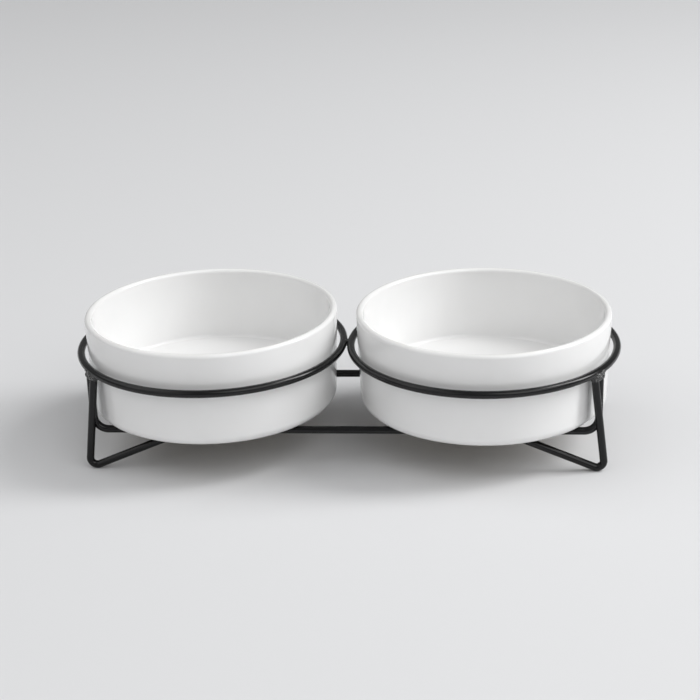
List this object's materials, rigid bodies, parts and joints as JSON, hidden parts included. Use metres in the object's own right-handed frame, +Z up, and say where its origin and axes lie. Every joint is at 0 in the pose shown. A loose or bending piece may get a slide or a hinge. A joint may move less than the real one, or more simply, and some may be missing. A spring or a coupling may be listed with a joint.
{
  "type": "pet feeder stand",
  "caption": "Low stand of welded coated wire whose side-by-side rings hold lift-out glazed bowls for feeding a small dog or cat.",
  "frame": {"origin": "on the floor, midway between the four feet", "axes": "+X from the left bowl to the right bowl, +Y from the front to the rear, +Z up"},
  "size_m": [0.3292, 0.1646, 0.084],
  "materials": {
    "glaze": "gloss",
    "coated_wire": "satin",
    "coated_weld": "satin"
  },
  "bodies": {
    "stand": {"left_ring": "coated_wire", "right_ring": "coated_wire", "front_rail": "coated_wire", "rear_rail": "coated_wire", "front_left_foot": "coated_wire", "front_right_foot": "coated_wire", "rear_left_foot": "coated_wire", "rear_right_foot": "coated_wire", "centre_weld": "coated_weld", "front_left_weld": "coated_weld", "front_right_weld": "coated_weld", "rear_left_weld": "coated_weld", "rear_right_weld": "coated_weld", "front_left_brace_weld": "coated_weld", "front_right_brace_weld": "coated_weld", "rear_left_brace_weld": "coated_weld", "rear_right_brace_weld": "coated_weld"},
    "left_bowl": {"left_bowl": "glaze"},
    "right_bowl": {"right_bowl": "glaze"}
  },
  "joints": [
    {"name": "left_bowl_lift", "type": "slide", "parent": "stand", "child": "left_bowl", "axis": [0, 0, 1], "range_m": [0, 0.08]},
    {"name": "right_bowl_lift", "type": "slide", "parent": "stand", "child": "right_bowl", "axis": [0, 0, 1], "range_m": [0, 0.08]}
  ]
}
